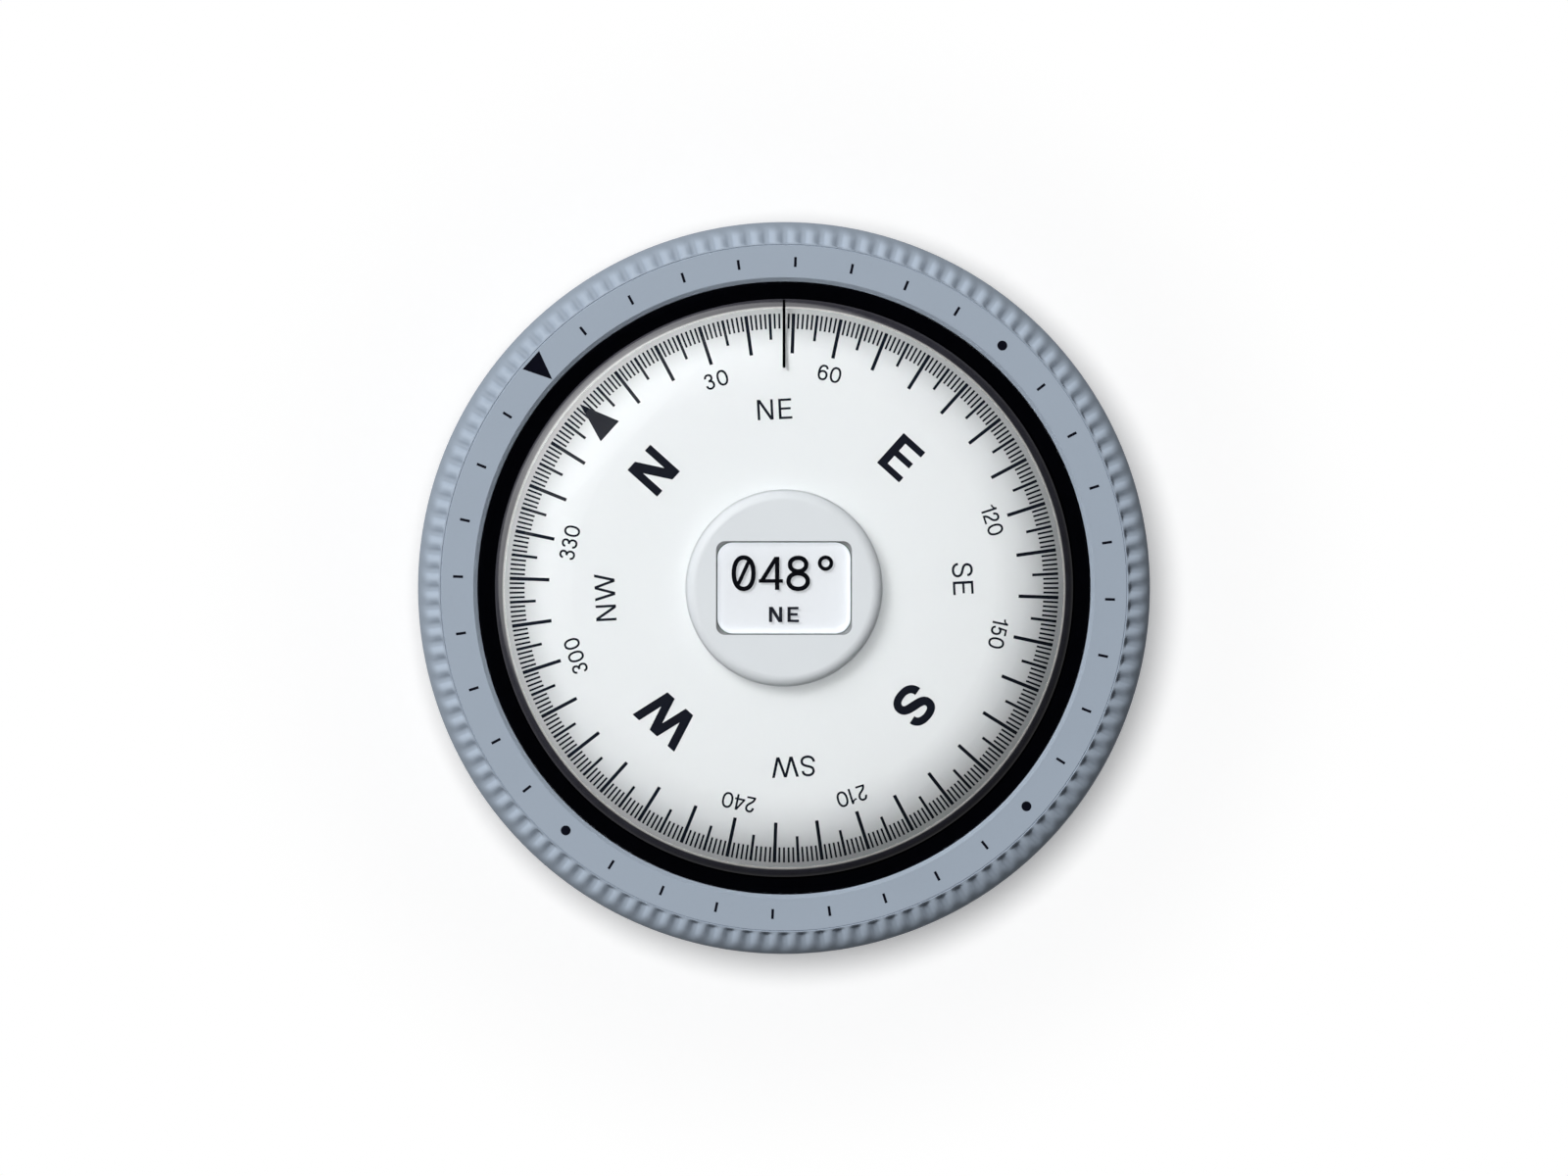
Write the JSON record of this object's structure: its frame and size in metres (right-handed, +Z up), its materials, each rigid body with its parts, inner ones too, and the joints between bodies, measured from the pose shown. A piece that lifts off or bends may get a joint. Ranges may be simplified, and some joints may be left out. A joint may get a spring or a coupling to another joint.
{
  "type": "qibla compass",
  "caption": "Round hand-held compass: a fluted bezel turns on a flanged case, a magnetic degree card turns on a ball bearing, and a small display in the middle shows the heading.",
  "frame": {"origin": "centre of the foot ring's underside", "axes": "+Z up along the turning axis of the card and the bezel, +Y towards the lubber pin that the card is read against"},
  "size_m": [0.076, 0.076, 0.0198],
  "materials": {
    "bezel_anodised": "blue-grey anodised, satin",
    "bezel_mark_fill": "matt black fill",
    "case_anodised": "blue-grey anodised, satin",
    "bridge_alloy": "plain machined",
    "ring_black": "matt black",
    "clear_glass": "polished",
    "seal_rubber": "matt",
    "foot_rubber": "matt",
    "card_white": "satin white",
    "hub_plastic": "moulded grey",
    "cage_plastic": "moulded brown",
    "pod_plastic": "satin pale grey",
    "lcd_plate": "pale satin",
    "board_laminate": "green solder mask",
    "chip_resin": "matt black",
    "flex_film": "amber film",
    "steel": "plain",
    "magnet_plate": "nickel plated",
    "contact_metal": "gilt",
    "post_brass": "turned",
    "pin_black": "matt black",
    "cover_anodised": "blue-grey anodised, satin"
  },
  "bodies": {
    "case": {"base_case": "case_anodised", "foot_ring": "foot_rubber", "coin_cell": "steel", "battery_negative_spring": "contact_metal", "battery_positive_clip": "contact_metal", "circuit_board": "board_laminate", "controller_chip": "chip_resin", "heading_sensor": "chip_resin", "flex_connector": "chip_resin", "display_flex": "flex_film", "bridge": "bridge_alloy", "frame_screws": "steel", "centre_post": "post_brass", "bearing_inner_ring": "steel", "bearing_clip": "steel", "display_base": "pod_plastic", "display_board": "board_laminate", "lcd_reflector": "lcd_plate", "lcd_seal": "lcd_plate", "lcd_glass": "clear_glass", "display_gasket": "seal_rubber", "display_cover": "pod_plastic", "lubber_pin": "pin_black", "crystal_gasket": "seal_rubber", "crystal": "clear_glass", "crystal_ring": "ring_black", "bezel_friction_oring": "seal_rubber"},
    "bezel": {"bezel_ring": "bezel_anodised", "bezel_inlay": "bezel_mark_fill", "bezel_retaining_wire": "steel"},
    "card": {"bearing_outer_ring": "steel", "card_hub": "hub_plastic", "card_magnets": "magnet_plate", "compass_card": "card_white", "card_screws": "steel"},
    "ball_cage": {"bearing_balls": "steel", "bearing_cage": "cage_plastic"},
    "battery_cover": {"battery_cover": "cover_anodised", "battery_cover_oring": "seal_rubber"}
  },
  "joints": [
    {"name": "bezel_turn", "type": "hinge", "parent": "case", "child": "bezel", "pos_m": [0, 0, 0.0105], "axis": [0, 0, 1], "continuous": true},
    {"name": "card_turn", "type": "hinge", "parent": "case", "child": "card", "pos_m": [0, 0, 0.01325], "axis": [0, 0, 1], "continuous": true},
    {"name": "cage_turn", "type": "hinge", "parent": "case", "child": "ball_cage", "pos_m": [0, 0, 0.01325], "axis": [0, 0, 1], "continuous": true},
    {"name": "battery_cover_turn", "type": "hinge", "parent": "case", "child": "battery_cover", "pos_m": [0, 0, 0.002], "axis": [0, 0, -1], "range_deg": [0, 40]}
  ],
  "couplings": [
    {"joint": "cage_turn", "follows": "card_turn", "ratio": 0.575}
  ]
}
